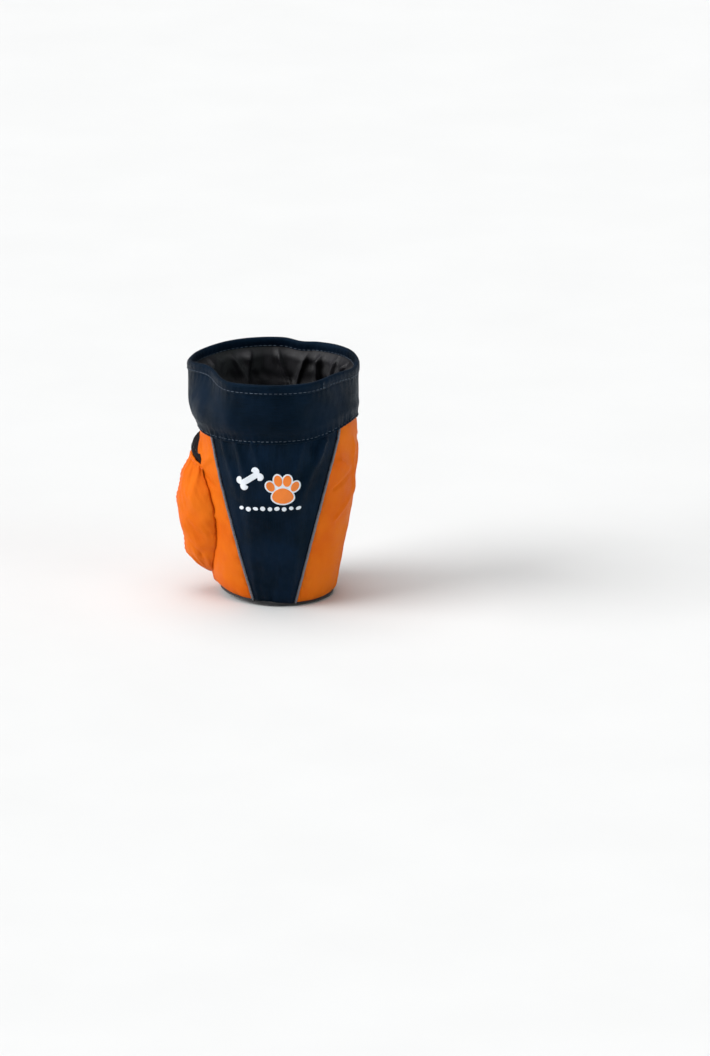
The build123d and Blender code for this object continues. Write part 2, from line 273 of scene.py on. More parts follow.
def sheet(
    name, surface, width, length, thickness, mat, step=1.3, wrap=False, relief=None, roll=0.0, up_step=None,
):
    """Closed piece of cloth. surface(a, b, out) gives its outer face, a across and b up, each from 0
    to 1. Its edges are rounded and roll inwards, and relief(a, b) lifts both faces into folds."""
    a, b = np.meshgrid(stations(width, step, wrap), stations(length, up_step or step))
    across = np.full_like(a, 99.0) if wrap else np.minimum(a, 1 - a) * width
    upward = np.minimum(b, 1 - b) * length
    edge = np.minimum(across, upward)
    rounding = 0.45 * thickness * rounded(edge, 0.9)
    rolled = roll * bell(across, 1.3)
    lifted = relief(a, b) if relief else np.zeros_like(a)
    outer = surface(a, b, lifted - rounding - rolled)
    inner = surface(a, b, lifted - thickness + rounding - rolled)
    rows, columns = a.shape
    total = rows * columns
    index = np.arange(total).reshape(rows, columns)
    closed = outer
    if wrap:
        index = np.concatenate([index, index[:, :1]], axis=1)
        closed = np.concatenate([outer, outer[:, :1]], axis=1)
    u = lengths_along(closed, 1)
    u = u - u[:, u.shape[1] // 2][:, None]
    if wrap:
        u = np.broadcast_to(u[rows // 2], u.shape)
    v = lengths_along(closed, 0)
    v = np.broadcast_to(v[:, v.shape[1] // 2][:, None], u.shape)
    uv = np.stack([u, v], axis=-1)
    faces, uvs = [], []

    def add(*corners):
        """Face from corners (row, column, side), where side 0 is the outer face."""
        faces.append([int(index[i, j]) + side * total for i, j, side in corners])
        uvs.extend(uv[i, j] for i, j, _ in corners)

    for i in range(rows - 1):
        for j in range(index.shape[1] - 1):
            for side in (0, 1):
                add((i, j, side), (i, j + 1, side), (i + 1, j + 1, side), (i + 1, j, side))
    for j in range(index.shape[1] - 1):
        for i in (0, rows - 1):
            add((i, j, 0), (i, j + 1, 0), (i, j + 1, 1), (i, j, 1))
    if not wrap:
        for j in (0, columns - 1):
            for i in range(rows - 1):
                add((i, j, 0), (i + 1, j, 0), (i + 1, j, 1), (i, j, 1))
    # closeness to the edges; the cloth materials darken there, partly soiling and partly painted shade
    seam = np.exp(-edge / 2.5)
    return finish_mesh(name, both_faces(outer, inner), faces, uvs, np.concatenate([seam, seam]), mat)


def quad(ring, next_ring, j, after, sides, first=0):
    """Face between two rings of points, from point j to the point after it."""
    here, there = first + ring * sides, first + next_ring * sides
    return [here + j, here + after, there + after, there + j]


def sweep(name, frames, profile, mat, wrap=False):
    """Closed bar along frames of (point, out, up). profile(k) gives its section there as (out, up)."""
    rings = np.array([
        [point + o * out + h * up for o, h in profile(k)] for k, (point, out, up) in enumerate(frames)
    ], float)
    count, sides = rings.shape[:2]
    verts = rings.reshape(-1, 3)
    closed = np.concatenate([rings, rings[:, :1]], axis=1)
    along = lengths_along(np.concatenate([rings, rings[:1]]) if wrap else rings, 0).mean(axis=1)
    girth = lengths_along(closed, 1)
    faces, uvs = [], []
    for k in range(count if wrap else count - 1):
        following = (k + 1) % count
        for j in range(sides):
            after = (j + 1) % sides
            faces.append(quad(k, following, j, after, sides))
            uvs.extend([
                (along[k], girth[k, j]), (along[k], girth[k, j + 1]),
                (along[k + 1], girth[following, j + 1]), (along[k + 1], girth[following, j]),
            ])
    if not wrap:
        for k, ring in ((0, rings[0]), (count - 1, rings[-1])):
            centre = len(verts)
            verts = np.concatenate([verts, [ring.mean(axis=0)]])
            for j in range(sides):
                faces.append([k * sides + j, k * sides + (j + 1) % sides, centre])
                uvs.extend([(along[k], girth[k, j]), (along[k], girth[k, j + 1]), (along[k], 0)])
    return finish_mesh(name, verts, faces, uvs, np.zeros(len(verts)), mat)


def raised(name, outline, spine, surface, high, low, mat, rings=8, edge=0.0):
    """Closed flat shape on a surface: rings go from its spine to its outline, both in millimetres."""
    outline, spine = np.array(outline, float), np.array(spine, float)
    shares = 1 - (1 - np.linspace(0, 1, rings + 1)) ** 1.3
    plan = np.array([spine + (outline - spine) * share for share in shares])
    distance = np.linalg.norm(outline - spine, axis=1) * (1 - shares[:, None])
    drop = edge * rounded(distance, edge) if edge else 0
    top = surface(plan[..., 0], plan[..., 1], high - drop)
    under = surface(plan[..., 0], plan[..., 1], low + np.zeros_like(distance))
    count, sides = plan.shape[:2]
    total = count * sides
    faces = []
    for j in range(sides):
        after = (j + 1) % sides
        for k in range(count - 1):
            faces += [quad(k, k + 1, j, after, sides), quad(k, k + 1, j, after, sides, total)]
        last = (count - 1) * sides
        faces.append([last + j, last + after, last + after + total, last + j + total])
    uvs = [plan.reshape(-1, 2)[v % total] for face in faces for v in face]
    # closeness to the outline; the cloth materials darken there, partly soiling and partly painted shade
    seam = np.broadcast_to(np.exp(-distance / 2.5), (count, sides)).ravel()
    return finish_mesh(name, both_faces(top, under), faces, uvs, np.concatenate([seam, seam]), mat, weld=True)


def stitches(name, points, outs, mat, pitch=3.4, length=2.3, thread=0.2, start=0.4):
    """Row of stitches along a line of points, each a short thread that dips into the cloth at its ends."""
    points, outs = np.array(points, float), np.array(outs, float)
    run = np.concatenate([[0], np.cumsum(np.linalg.norm(np.diff(points, axis=0), axis=1))])
    verts, faces, uvs = [], [], []
    dice = random.Random(len(points))
    sides = 6
    shares, sizes = (0, 0.12, 0.35, 0.65, 0.88, 1), (0.45, 0.9, 1, 1, 0.9, 0.45)
    at = start
    while at + length < run[-1]:
        begin, span = at + dice.uniform(-0.15, 0.15), length * dice.uniform(0.93, 1.05)
        centres, normals = [], []
        for share in shares:
            here = begin + span * share
            point, out = (
                np.array([np.interp(here, run, line[:, axis]) for axis in range(3)])
                for line in (points, outs)
            )
            out /= np.linalg.norm(out)
            arch = 0.25 * thread + 0.9 * thread * sin(pi * share) - 0.5 * thread * (share in (0, 1))
            centres.append(point + out * arch)
            normals.append(out)
        first = len(verts)
        for k, (centre, out) in enumerate(zip(centres, normals)):
            forward = centres[min(k + 1, 5)] - centres[max(k - 1, 0)]
            forward /= np.linalg.norm(forward)
            side = np.cross(forward, out)
            up = np.cross(side, forward)
            size = thread * sizes[k]
            for j in range(sides):
                turn = 2 * pi * j / sides
                verts.append(centre + size * (cos(turn) * side + sin(turn) * up))
        for k in range(5):
            for j in range(sides):
                faces.append(quad(k, k + 1, j, (j + 1) % sides, sides, first))
        faces.append([first + j for j in range(sides)])
        faces.append([first + 5 * sides + j for j in range(sides)])
        at += pitch
    return finish_mesh(name, verts, faces, mat=mat)


def own(piece, body="pouch", replaces=()):
    """Says what a piece rides on, and hides the CAD nodes that it stands for."""
    if body:
        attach(piece, body)
    if replaces:
        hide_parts(*replaces)
    return piece


# ---- materials ----
def colour(red, green, blue):
    """sRGB values from 0 to 255 as a linear colour."""
    def linear(value):
        value /= 255
        return value / 12.92 if value <= 0.04045 else ((value + 0.055) / 1.055) ** 2.4
    return (linear(red), linear(green), linear(blue), 1.0)


class Nodes:
    """Short way to write a material's nodes."""

    def __init__(self, name):
        self.material = bpy.data.materials.new(name)
        self.material.use_nodes = True
        self.tree = self.material.node_tree
        self.shader = self.tree.nodes["Principled BSDF"]

    def add(self, kind, sockets=None, **settings):
        made = self.tree.nodes.new("ShaderNode" + kind)
        for key, value in settings.items():
            setattr(made, key, value)
        for key, value in (sockets or {}).items():
            self.set(made.inputs[key], value)
        return made

    def set(self, socket, value):
        if isinstance(value, bpy.types.NodeSocket):
            self.tree.links.new(value, socket)
        else:
            socket.default_value = value

    def maths(self, operation, first, second=0.0, third=0.0):
        return self.add("Math", {0: first, 1: second, 2: third}, operation=operation).outputs[0]

    def mix(self, share, first, second, blend_type="MIX"):
        made = self.add("Mix", data_type="RGBA", blend_type=blend_type)
        for key, value in ((0, share), (6, first), (7, second)):
            self.set(made.inputs[key], value)
        return made.outputs[2]

    def remap(self, value, low, high, new_low=0.0, new_high=1.0):
        sockets = {0: value, 1: low, 2: high, 3: new_low, 4: new_high}
        return self.add("MapRange", sockets, interpolation_type="SMOOTHSTEP").outputs[0]

    def noise(self, where, scale, detail=2.0, stretch=(1, 1, 1), roughness=0.5):
        moved = self.add("Mapping", {"Vector": where, "Scale": stretch}).outputs[0]
        sockets = {"Vector": moved, "Scale": scale, "Detail": detail, "Roughness": roughness}
        return self.add("TexNoise", sockets).outputs[0]

    def times(self, first, second):
        return self.maths("MULTIPLY", first, second)

    def cloth(self):
        """Coordinates along the cloth, in metres."""
        return self.add("UVMap", uv_map="cloth").outputs[0]

    def space(self):
        return self.add("TexCoord").outputs["Object"]

    def threads(self, where, period, direction):
        """Sine bands of one period, in metres, along X or Y of the given coordinates."""
        sockets = {"Vector": where, "Scale": pi / 10 / period}
        return self.add("TexWave", sockets, wave_type="BANDS", bands_direction=direction).outputs[1]

    def finish(self, height, depth, base, roughness, **plain):
        bump = self.add("Bump", {"Height": height, "Distance": depth, "Strength": 1.0})
        self.set(self.shader.inputs["Normal"], bump.outputs[0])
        self.set(self.shader.inputs["Base Color"], base)
        self.set(self.shader.inputs["Roughness"], roughness)
        for key, value in plain.items():
            self.set(self.shader.inputs[key.replace("_", " ")], value)
        return self.material


plain_weave = 0.00042    # metres from one thread to the next but one


def woven(
    name, light, dark, soil_and_shade, weave=plain_weave, streak=0.35, patch=0.6, gloss=0.5, sheen=0.0, shine=0.07,
    tint=(1, 1, 1, 1), stretch=(26, 1, 1), depth=0.00007,
):
    """Nylon or polyester cloth: plain weave, streaks of uneven yarn, patches of lighter and darker dye
    (on the navy cloths partly painted highlight and shade), and darkening along its seams and edges,
    partly soiling and partly painted shade. stretch draws the yarn's streaks out along the cloth's v or u."""
    n = Nodes(name)
    uv = n.cloth()
    space = n.space()
    warp, weft = n.threads(uv, weave, "X"), n.threads(uv, weave, "Y")
    checks = n.times(n.maths("MULTIPLY_ADD", warp, 2.0, -1.0), n.maths("MULTIPLY_ADD", weft, 2.0, -1.0))
    height = n.maths("MULTIPLY_ADD", checks, 0.5, 0.5)
    yarn = n.noise(uv, 90, 3, stretch)
    height = n.maths("MULTIPLY_ADD", yarn, 0.9, height)
    height = n.maths("MULTIPLY_ADD", n.noise(space, 260, 2), 1.4, height)
    streaks = n.times(n.remap(yarn, 0.35, 0.65), streak)
    share = n.maths("ADD", streaks, n.times(n.remap(n.noise(space, 38, 3), 0.3, 0.7), patch))
    base = n.mix(share, dark, light)
    base = n.mix(n.times(checks, 0.10), base, (1, 1, 1, 1), "SOFT_LIGHT")
    # painted shade: the cloth darkens towards its seams and edges through the seam mask, partly soiling and
    # partly shade drawn into its colour
    seam = n.add("Attribute", attribute_name="seam").outputs["Fac"]
    darkened = n.times(n.times(seam, n.remap(n.noise(space, 120, 3), 0.35, 0.75)), 0.75)
    base = n.mix(darkened, base, soil_and_shade)
    rough = n.remap(n.noise(space, 75, 2), 0.3, 0.7, gloss - 0.06, gloss + 0.1)
    return n.finish(
        height, depth, base, rough, Sheen_Weight=sheen, Sheen_Roughness=0.35,
        Sheen_Tint=(0.45, 0.75, 0.95, 1), Specular_Tint=tint, Specular_IOR_Level=shine,
    )


def metal(name, base, darkened, gloss):
    """Plated metal, finely brushed, with duller stains."""
    n = Nodes(name)
    space = n.space()
    grain = n.noise(space, 900, 3, (1, 6, 1))
    stains = n.noise(space, 70, 4)
    rough = n.remap(stains, 0.3, 0.7, gloss - 0.08, gloss + 0.12)
    return n.finish(grain, 0.00003, n.mix(n.remap(stains, 0.45, 0.72), base, darkened), rough, Metallic=1.0)


def painted(name, base, bright, gloss):
    """Powder-coated steel with a fine orange peel, rubbed bright in places."""
    n = Nodes(name)
    space = n.space()
    peel = n.noise(space, 1500, 2)
    rubbed = n.remap(n.noise(space, 380, 5, roughness=0.75), 0.7, 0.78)
    rough = n.remap(n.noise(space, 120, 3), 0.3, 0.7, gloss - 0.06, gloss + 0.1)
    return n.finish(peel, 0.00004, n.mix(rubbed, base, bright), rough, Coat_Weight=0.15, Coat_Roughness=0.3)


def thread(name, light, dark):
    """Twisted sewing thread."""
    n = Nodes(name)
    space = n.space()
    twist = n.noise(space, 1800, 2, (1, 1, 3))
    shade = n.noise(space, 140, 2)
    base = n.mix(n.remap(shade, 0.3, 0.7), dark, light)
    return n.finish(twist, 0.00008, base, n.remap(shade, 0.3, 0.7, 0.6, 0.8), Sheen_Weight=0.2)


def printed(name, light, dark):
    """Rubbery printed ink with a faint weave coming through it and small cracks."""
    n = Nodes(name)
    uv = n.cloth()
    space = n.space()
    weave = n.times(n.threads(uv, plain_weave, "X"), n.threads(uv, plain_weave, "Y"))
    cracks = n.remap(n.noise(space, 700, 4, roughness=0.7), 0.62, 0.7)
    rough = n.remap(n.noise(space, 90, 2), 0.3, 0.7, 0.5, 0.65)
    return n.finish(weave, 0.00003, n.mix(n.times(cracks, 0.35), light, dark), rough, Specular_IOR_Level=0.35)


def webbing(name, light, dark, rib=0.0011):
    """Ribbed tape. rib is the distance from one rib to the next, in metres."""
    n = Nodes(name)
    uv = n.cloth()
    space = n.space()
    ribs = n.threads(uv, rib, "Y")
    cross = n.threads(uv, rib * 0.8, "X")
    height = n.maths("MULTIPLY_ADD", cross, 0.35, ribs)
    cloud = n.noise(space, 110, 3)
    share = n.maths("MULTIPLY_ADD", ribs, 0.5, n.times(n.remap(cloud, 0.3, 0.7), 0.5))
    rough = n.remap(cloud, 0.3, 0.7, 0.6, 0.8)
    return n.finish(height, 0.00018, n.mix(share, dark, light), rough, Sheen_Weight=0.25, Sheen_Roughness=0.4)


def reflective(name):
    """Grey retroreflective piping: glass beads in a film over cord."""
    n = Nodes(name)
    uv = n.cloth()
    space = n.space()
    beads = n.add("TexVoronoi", {"Vector": space, "Scale": 4200.0}).outputs[0]
    wrinkles = n.noise(uv, 500, 2, (2.5, 0.4, 1))
    height = n.maths("MULTIPLY_ADD", wrinkles, 2.5, n.times(beads, 0.6))
    base = n.mix(n.remap(wrinkles, 0.35, 0.65), colour(88, 89, 96), colour(120, 120, 127))
    return n.finish(height, 0.00008, base, n.remap(wrinkles, 0.3, 0.7, 0.38, 0.55), Metallic=0.25)


# The navy cloths' light and dark colours are spread wide and their patches made strong: the lighter and
# darker patches are partly uneven dye and partly painted highlight and painted shade.
navy_dark_dye_and_painted_shade, navy_soil_and_shade, navy_tint = colour(0, 2, 6), colour(1, 6, 12), (0.2, 0.55, 1, 1)
navy = woven(
    "navy_nylon", colour(8, 22, 40), navy_dark_dye_and_painted_shade, navy_soil_and_shade,
    gloss=0.45, patch=0.8, streak=0.3, sheen=0.04, shine=0.15, tint=navy_tint,
)
navy_collar = woven(
    "navy_collar_nylon", colour(7, 20, 36), navy_dark_dye_and_painted_shade, navy_soil_and_shade,
    gloss=0.46, stretch=(1, 26, 1), patch=0.7, streak=0.4, sheen=0.03, shine=0.13, tint=navy_tint,
)
orange = woven("orange_nylon", colour(228, 116, 22), colour(214, 92, 4), colour(150, 60, 6), streak=0.22)
black_cloth = woven("black_cloth", colour(34, 29, 31), colour(14, 12, 13), colour(8, 7, 8), streak=0.3)
lining_cloth = woven(
    "lining_nylon", colour(38, 38, 43), colour(17, 17, 20), colour(6, 6, 7),
    weave=0.0003, gloss=0.4, shine=0.3, streak=0.3, depth=0.00005,
)
binding_tape = webbing("binding_tape", colour(36, 36, 40), colour(14, 14, 16), 0.0009)
strap_webbing = webbing("strap_webbing", colour(38, 38, 42), colour(15, 15, 17))
piping_film = reflective("piping_film")
clip_paint = painted("clip_paint", colour(26, 26, 28), colour(88, 88, 92), 0.38)
nickel = metal("nickel", (0.62, 0.61, 0.59, 1), (0.42, 0.40, 0.38, 1), 0.28)
navy_thread = thread("navy_thread", colour(84, 98, 114), colour(40, 56, 74))
orange_thread = thread("orange_thread", colour(250, 140, 66), colour(214, 92, 24))
black_thread = thread("black_thread", colour(70, 68, 70), colour(34, 33, 35))
white_ink = printed("white_ink", colour(226, 232, 240), colour(120, 130, 145))
orange_ink = printed("orange_ink", colour(240, 128, 44), colour(150, 74, 30))


# ---- body panels ----
front_creases = [    # start, end, width, rise
    ((-40, 121), (-15, 62), 3.4, 1.5),
    ((-27, 122), (-17, 86), 3.8, 3.0),
    ((-27, 123), (-20, 36), 3.0, -1.2),
    ((-14, 123), (-3, 84), 2.4, 1.4),
    ((4, 123), (-2, 66), 3.2, -1.6),
    ((22, 123), (7, 72), 2.8, 1.4),
    ((38, 122), (17, 74), 3.8, 3.4),
    ((30, 118), (34, 78), 3.2, -1.3),
    ((31, 122), (21, 44), 2.8, -1.1),
    ((-12, 3), (-18, 60), 3.2, 1.1),
    ((11, 3), (19, 56), 2.8, 1.0),
    ((-2, 4), (3, 52), 3.4, -0.9),
]


def front_relief(x, level):
    """Drag folds that run down from the collar seam, and puckers along it."""
    folds = ridges(x, level, front_creases)
    pucker = 0.6 * np.sin(x * 1.25 + 2 * np.sin(x * 0.21)) * np.exp(-np.maximum(124 - level, 0) / 7)
    where = flat(x, level)
    return 1.15 * folds + pucker + 0.75 * waves(where, 34, 11, (1, 0.55, 1)) + 0.14 * waves(where, 9, 12)


side_creases = [    # start, end, width, rise
    ((-16, 121), (2, 44), 3.2, 1.5),
    ((12, 118), (-8, 74), 2.8, 1.4),
    ((-2, 4), (-12, 50), 3.2, 1.2),
    ((8, 110), (15, 36), 2.8, -1.2),
    ((-34, 104), (-6, 88), 2.6, 1.2),
    ((-36, 84), (-4, 96), 2.4, -1.1),
    ((-30, 62), (2, 80), 2.8, 1.1),
    ((30, 90), (4, 62), 2.8, 1.0),
]


def side_relief(s, level, seed):
    """Slack creases in a side panel. s is the distance from its middle."""
    folds = ridges(s, level, side_creases)
    pucker = 0.35 * np.sin(s * 1.3 + 2 * np.sin(s * 0.23)) * np.exp(-np.maximum(124 - level, 0) / 6)
    where = flat(s, level)
    return 1.3 * folds + pucker + 0.8 * waves(where, 30, seed, (1, 0.6, 1)) + 0.14 * waves(where, 9, seed + 1)


panel_bottom = 2.0
panel_length = wall_top - panel_bottom
seam_gap = 0.5    # panel edge to the middle of the piping


def panel_level(b):
    return panel_bottom + panel_length * b


def panel_edge(level, past):
    """Angle of the line that runs past the middle of the piping by a distance."""
    return seam_angle(level) + np.degrees(past / wall_radius(level))


def face_surface(back):
    """Surface of the front or back panel."""
    def surface(a, b, out):
        level = panel_level(b)
        angle = (2 * a - 1) * panel_edge(level, -seam_gap)
        return place(180 - angle if back else angle, level, wall_radius(level) + out)
    return surface


def face_plan(a, b):
    """Distance from the middle of the front or back panel, and level."""
    level = panel_level(b)
    return (2 * a - 1) * np.radians(seam_angle(level)) * wall_radius(level), level


def front_folds(a, b):
    x, level = face_plan(a, b)
    return front_relief(x, level) * smooth(np.minimum(a, 1 - a), 0, 0.07) * (1 - smooth(level, 122, 125))


def back_folds(a, b):
    x, level = face_plan(a, b)
    clear_of_patch = smooth(np.abs(x), 16, 24) + smooth(level, 112, 118) + 1 - smooth(level, 44, 52)
    soft = 0.5 * waves(flat(x, level), 32, 21, (1, 0.6, 1)) - 0.3
    return soft * np.minimum(clear_of_patch, 1) * smooth(np.minimum(a, 1 - a), 0, 0.07)


def side_surface(side):
    def surface(a, b, out):
        level = panel_level(b)
        edge = panel_edge(level, seam_gap)
        return place(side * (edge + (180 - 2 * edge) * a), level, wall_radius(level) + out)
    return surface


def side_folds(seed):
    def folds(a, b):
        level = panel_level(b)
        s = (a - 0.5) * np.radians(180 - 2 * seam_angle(level)) * wall_radius(level)
        fade = 1 - smooth(level, 106, 121)
        return side_relief(s, level, seed) * smooth(np.minimum(a, 1 - a), 0, 0.08) * fade - 0.2
    return folds


panel_sheet = dict(length=panel_length, thickness=1.2, roll=0.55)
for face_name, back, folds in (("front", False, front_folds), ("back", True, back_folds)):
    own(
        sheet(f"{face_name}_panel_cloth", face_surface(back), 80, mat=navy, relief=folds, **panel_sheet),
        replaces=[f"{face_name}_panel"],
    )
for side_name, side, seed in (("left", -1, 31), ("right", 1, 41)):
    own(
        sheet(
            f"{side_name}_side_cloth", side_surface(side), 95,
            mat=orange, relief=side_folds(seed), **panel_sheet,
        ),
        replaces=[f"{side_name}_side_panel"],
    )

# ---- piping ----
piping_radius = 0.9


def collar_low(angle):
    """Lower edge of the collar, which sits lower on the left than on the right."""
    return collar_bottom + 0.3 + 1.7 * np.sin(np.radians(angle)) + 5.0 * hump(angle, 72, 52)


def round_profile(radius, sides=12):
    turns = [2 * pi * j / sides for j in range(sides)]
    return [(radius * cos(t), radius * sin(t)) for t in turns]


def frames_along(points, outs):
    """Sweep frames along a line of points: the second axis is square to the line and to out."""
    frames = []
    for k, (point, out) in enumerate(zip(points, outs)):
        forward = points[min(k + 1, len(points) - 1)] - points[max(k - 1, 0)]
        forward = forward / np.linalg.norm(forward)
        side = np.cross(forward, out)
        side /= np.linalg.norm(side)
        frames.append((point, np.cross(side, forward), side))
    return frames


def frames_across(points):
    """Sweep frames along a line in the plane x = 0, for a strip that lies across it."""
    frames = []
    for k, point in enumerate(points):
        forward = points[min(k + 1, len(points) - 1)] - points[max(k - 1, 0)]
        forward /= np.linalg.norm(forward)
        frames.append((point, np.cross(forward, RIGHT), RIGHT))
    return frames


def outwards(angle):
    """Unit vectors away from the pouch's axis."""
    return around(angle, 0 * angle, 1.0)


def turn_angles(count):
    """Angles once round the pouch, in degrees."""
    return np.linspace(-180, 180, count, endpoint=False)


piping_levels = np.linspace(2.2, 129.0, 104)
piping_section = round_profile(piping_radius)
piping_sink = 1.5    # how far it dips where the collar lies over it
for face_name, back in (("front", False), ("back", True)):
    for side_name, side in (("left", -1), ("right", 1)):
        angle = side * seam_angle(piping_levels)
        angle = 180 - angle if back else angle
        wobble = 0.12 * np.sin(piping_levels * 0.9 + side) + 0.1 * np.sin(piping_levels * 0.37)
        sunk = piping_sink * smooth(piping_levels - collar_low(angle), -0.6, 1.0)
        line = place(angle, piping_levels, wall_radius(piping_levels) + 0.1 + wobble - sunk)
        own(
            sweep(
                f"piping_{face_name}_{side_name}_cord", frames_along(line, outwards(angle)),
                lambda k: piping_section, piping_film,
            ),
            replaces=[f"piping_{face_name}_{side_name}"],
        )

# ---- collar ----
collar_middle = 58.0    # radius at which lengths round the collar are taken


def collar_level(angle, b):
    low = collar_low(angle)
    return low + (collar_top - low) * b


def collar_radius(angle, level):
    """The collar lies on the body at its seam and stands clear of it above."""
    on_body = wall_radius(level) + 1.45
    return on_body + (curve(collar_profile, level) - on_body) * smooth(level - collar_low(angle), 1.5, 10.0)


def collar_surface(a, b, out):
    angle = a * 360 - 180
    level = collar_level(angle, b)
    return place(angle, level, collar_radius(angle, level) + out)


def collar_folds(a, b):
    angle = a * 360 - 180
    level = collar_level(angle, b)
    low = level - collar_low(angle)
    s = np.radians(angle) * collar_middle
    stitched = -0.55 * bell(low - 2.0, 0.8)
    puckers = 0.46 * np.sin(s * 1.35 + 1.7 * np.sin(s * 0.19)) + 0.2 * np.sin(s * 0.83)
    puckers = puckers * np.exp(-np.abs(low - 2.2) / 3.5)
    hem_puckers = 0.22 * np.sin(s * 1.1 + 2 * np.sin(s * 0.17)) * np.exp(-np.maximum(157.5 - level, 0) / 4)
    bulge = 0.9 * hump(angle, -90, 55) * smooth(low, 1, 9) * (1 - smooth(low, 14, 30))
    space = around(angle, level, collar_middle)
    soft = 0.55 * waves(space, 42, 51, (1, 1, 0.8)) * smooth(low, 2, 12) * (1 - smooth(level, 148, 157))
    sag = (
        0.8 * hump(angle, -28, 9) * bell(level - 136, 9)
        - 0.9 * hump(angle, -6, 14) * bell(level - 134, 12)
        + 0.7 * hump(angle, 22, 11) * bell(level - 138, 11)
        + 0.5 * hump(angle, -62, 12) * bell(level - 146, 8)
    )
    return stitched + puckers + hem_puckers + bulge + soft + sag + 0.1 * waves(space, 8, 52)


own(
    sheet(
        "collar_cloth", collar_surface, 2 * pi * collar_middle, collar_top - collar_bottom, 1.2, navy_collar,
        wrap=True, relief=collar_folds, up_step=1.1,
    ),
    replaces=["collar_band", "collar_interlining"],
)

row_angles = np.linspace(-180, 180, 1441)
row_levels = collar_low(row_angles) + 2.0
row_shares = (row_levels - collar_low(row_angles)) / (collar_top - collar_low(row_angles))
row_radius = collar_radius(row_angles, row_levels) + collar_folds((row_angles + 180) / 360, row_shares)
own(stitches("collar_stitches", place(row_angles, row_levels, row_radius), outwards(row_angles), navy_thread))

# ---- rim hem ----
hem_middle = rim_radius - hem_width / 2
hem_section = [    # out from the middle of the hem, below the rim
    (1.25, -7.5), (1.62, -6.6), (1.5, -5.9), (1.78, -4.6), (1.85, -3.0), (1.7, -1.6), (1.2, -0.5),
    (0.4, -0.05), (-0.4, -0.05), (-1.2, -0.5), (-1.7, -1.6), (-1.85, -3.0), (-1.75, -4.6), (-1.45, -5.9),
    (-1.55, -6.7), (-1.1, -7.5), (0.0, -7.2),
]
hem_angles = turn_angles(480)
hem_join = smooth(hem_angles, 37.4, 37.9) - smooth(hem_angles, 44.5, 48)    # the lap where its ends meet
hem_space = around(hem_angles, 160.0, collar_middle)
hem_swell = 0.16 * waves(hem_space, 14, 61) + 0.07 * np.sin(np.radians(hem_angles) * collar_middle * 1.3)
hem_level = height + 0.25 * waves(hem_space, 30, 62)


def hem_ring(k):
    swell, lap = hem_swell[k], 0.28 * hem_join[k]
    return [
        (o * (1 + 0.5 * swell * (h > -6.2)) + lap * (o > 0.8), h * (1 - 0.04 * swell)) for o, h in hem_section
    ]


hem_frames = []
for angle, level in zip(hem_angles, hem_level):
    point = place(angle, level, hem_middle)
    below = place(angle, level - 6.0, hem_middle)
    up = (point - below) / np.linalg.norm(point - below)
    out = np.cross(place(angle + 0.4, level, hem_middle) - place(angle - 0.4, level, hem_middle), up)
    hem_frames.append((point, out / np.linalg.norm(out), up))
hem = own(sweep("hem_cloth", hem_frames, hem_ring, navy_collar, wrap=True), replaces=["rim_hem", "rim_hoop"])
hem_smoothing = hem.modifiers.new("smooth", "SUBSURF")
hem_smoothing.levels = hem_smoothing.render_levels = 1


hem_row = hem_frames + hem_frames[:1]
hem_stitch_drop = 5.95
for row_name, stand in (("outside", 1.56), ("inside", -1.5)):
    line = [point + stand * out - hem_stitch_drop * up for point, out, up in hem_row]
    outs = [out if stand > 0 else -out for _, out, _ in hem_row]
    own(stitches(f"hem_stitches_{row_name}", line, outs, navy_thread))
join_point, join_out, join_up = hem_frames[int(np.argmin(np.abs(hem_angles - 40.0)))]
join_line = [join_point + 2.1 * join_out + h * join_up for h in np.linspace(-7.0, -1.0, 12)]
join_outs = [join_out] * len(join_line)
own(stitches("hem_join_stitches", join_line, join_outs, navy_thread, pitch=2.6, length=1.9, thread=0.22))

# ---- lining ----
pleat_dice, pleat_count = random.Random(4), 22
pleats = [
    (
        -180 + 360 * (k + pleat_dice.uniform(-0.4, 0.4)) / pleat_count,    # angle
        pleat_dice.uniform(2.0, 6.5),                            # width
        pleat_dice.uniform(1.6, 5.6),                            # how far it stands in
        pleat_dice.uniform(-0.6, 0.6),                           # slant
        pleat_dice.uniform(60, 135),                             # where it dies out
    )
    for k in range(pleat_count)
]


deepest_pleat = 6.5
lining_middle, lining_length = 56.0, 158.0    # radius and height at which its cloth is measured


def lining_level(b):
    return lining_bottom + (lining_top - lining_bottom) * b


def lining_surface(a, b, out):
    level = lining_level(b)
    return place(a * 360 - 180, level, curve(lining_profile, level) + out)


def lining_folds(a, b):
    angle, level = a * 360 - 180, lining_level(b)
    total = np.zeros_like(level)
    for centre, width, rise, slant, low in pleats:
        middle = centre + slant * (158 - level) + 3 * np.sin(level * 0.06 + centre)
        spread = width * (1 + 0.7 * smooth(158 - level, 0, 60))
        away = ((angle - middle + 180) % 360 - 180) / spread
        shape = np.exp(-np.abs(away) ** 1.5) * (1 + 0.75 * np.tanh(5 * away))
        total += rise * shape * smooth(level, low - 30, low + 25)
    space = around(angle, level, lining_middle)
    total = deepest_pleat * np.tanh(total / deepest_pleat)
    slack = 0.9 * (1 + np.abs(waves(space, 24, 71, (1, 1, 0.7))))
    creases = 0.9 * (1 - np.abs(waves(space, 15, 73, (1, 1, 0.6))))
    total = total + slack + creases + 0.3 * (1 + waves(space, 7, 72))
    return -total * (1 - smooth(level, 152.5, 158)) * smooth(level, 3, 14)


own(
    sheet(
        "lining_wall_cloth", lining_surface, 2 * pi * lining_middle, lining_length, 0.4, lining_cloth,
        step=0.75, wrap=True, relief=lining_folds, up_step=1.5,
    ),
    replaces=["lining_wall"],
)


